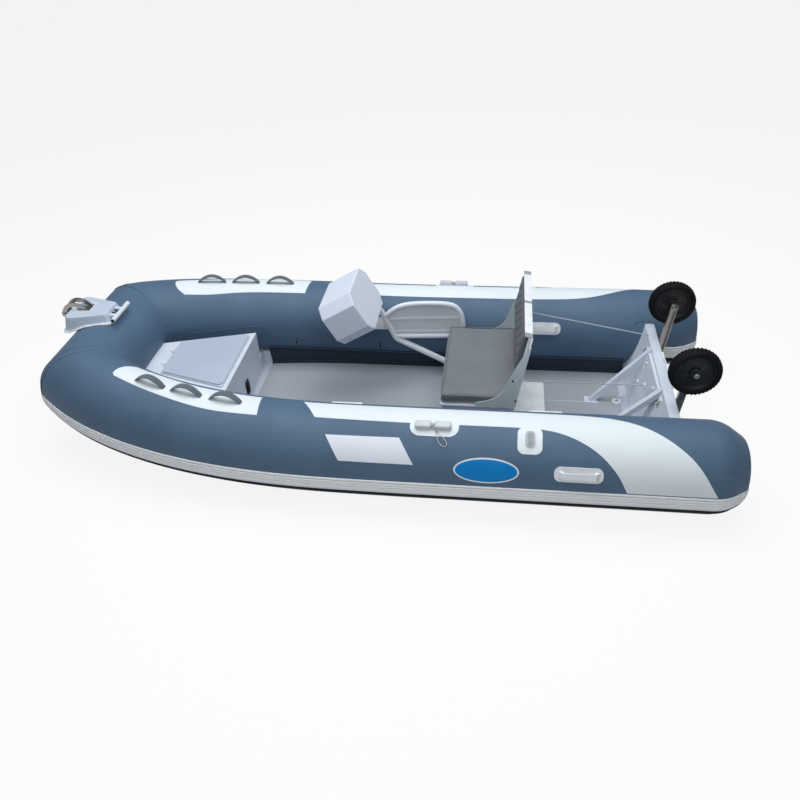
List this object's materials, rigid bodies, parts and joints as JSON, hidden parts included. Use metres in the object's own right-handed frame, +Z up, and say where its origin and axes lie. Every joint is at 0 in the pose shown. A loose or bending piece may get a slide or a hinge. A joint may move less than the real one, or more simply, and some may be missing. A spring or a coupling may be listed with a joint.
{
  "type": "rigid inflatable boat",
  "caption": "Rigid inflatable boat: V hull, round buoyancy tubes, bow locker, bench seat, side console and fold-down launching wheels.",
  "frame": {"origin": "on the centreline amidships, at the waterline, which is the height of the tubes' underside aft", "axes": "+X to the bow, +Y to port, +Z up"},
  "size_m": [3.641, 1.7946, 0.929],
  "materials": {
    "hull_paint": "satin light grey paint",
    "deck_nonskid": "matt non-skid grey paint",
    "tube_fabric": "satin coated fabric, blue grey",
    "strake_rubber": "satin light grey rubber",
    "pad_plastic": "matt",
    "cushion_vinyl": "quilted dark grey vinyl",
    "bracket_metal": "satin grey paint",
    "pod_gelcoat": "satin gelcoat",
    "moulded_plastic": "moulded grey plastic",
    "stainless": "brushed stainless",
    "black_plastic": "matt black",
    "webbing": "woven grey webbing",
    "tyre_rubber": "black tyre rubber"
  },
  "bodies": {
    "hull": {"hull_shell": "hull_paint", "deck_panel": "deck_nonskid", "tube_port": "tube_fabric", "tube_starboard": "tube_fabric", "tube_bow": "tube_fabric", "strake_port": "strake_rubber", "strake_starboard": "strake_rubber", "strake_bow": "strake_rubber", "transom_board": "hull_paint", "motor_pad_inner": "hull_paint", "motor_pad_outer": "pad_plastic", "transom_brace_port": "hull_paint", "transom_brace_starboard": "hull_paint", "locker_box": "hull_paint", "lid_hinges": "stainless", "bow_eye": "hull_paint", "seat_box": "hull_paint", "seat_cushion": "cushion_vinyl", "seat_bracket_port": "bracket_metal", "seat_bracket_starboard": "bracket_metal", "backrest_panel": "hull_paint", "backrest_cushion": "cushion_vinyl", "console_frame": "hull_paint", "console_side_panel": "hull_paint", "console_pod": "pod_gelcoat", "bow_step": "moulded_plastic", "bow_roller_bracket": "stainless", "bow_cleat": "stainless", "grab_handles_port": "webbing", "grab_handles_starboard": "webbing", "lift_handles_port": "moulded_plastic", "lift_handles_starboard": "moulded_plastic", "rowlock_port": "moulded_plastic", "rowlock_starboard": "moulded_plastic", "valve_port": "moulded_plastic", "valve_starboard": "moulded_plastic", "wheel_bracket_port": "black_plastic", "wheel_bracket_starboard": "black_plastic"},
    "wheel_leg_port": {"wheel_leg_port": "stainless"},
    "wheel_leg_starboard": {"wheel_leg_starboard": "stainless"},
    "wheel_port": {"wheel_rim_port": "black_plastic", "wheel_tyre_port": "tyre_rubber"},
    "wheel_starboard": {"wheel_rim_starboard": "black_plastic", "wheel_tyre_starboard": "tyre_rubber"},
    "locker_lid": {"locker_lid": "deck_nonskid"},
    "bow_roller": {"bow_roller": "black_plastic"}
  },
  "joints": [
    {"name": "leg_port_swing", "type": "hinge", "parent": "hull", "child": "wheel_leg_port", "pos_m": [-1.531, 0.285, 0.15], "axis": [0, -1, 0], "range_deg": [0, 165]},
    {"name": "leg_starboard_swing", "type": "hinge", "parent": "hull", "child": "wheel_leg_starboard", "pos_m": [-1.531, -0.285, 0.15], "axis": [0, -1, 0], "range_deg": [0, 165]},
    {"name": "wheel_port_spin", "type": "hinge", "parent": "wheel_leg_port", "child": "wheel_port", "pos_m": [-1.58, 0.345, 0.56], "axis": [0, 1, 0], "continuous": true},
    {"name": "wheel_starboard_spin", "type": "hinge", "parent": "wheel_leg_starboard", "child": "wheel_starboard", "pos_m": [-1.58, -0.345, 0.56], "axis": [0, 1, 0], "continuous": true},
    {"name": "bow_roller_spin", "type": "hinge", "parent": "hull", "child": "bow_roller", "pos_m": [1.808, 0, 0.588], "axis": [0, 1, 0], "continuous": true},
    {"name": "locker_lid_hinge", "type": "hinge", "parent": "hull", "child": "locker_lid", "pos_m": [1.262, 0, 0.3075], "axis": [0, 1, 0], "range_deg": [0, 95]}
  ]
}
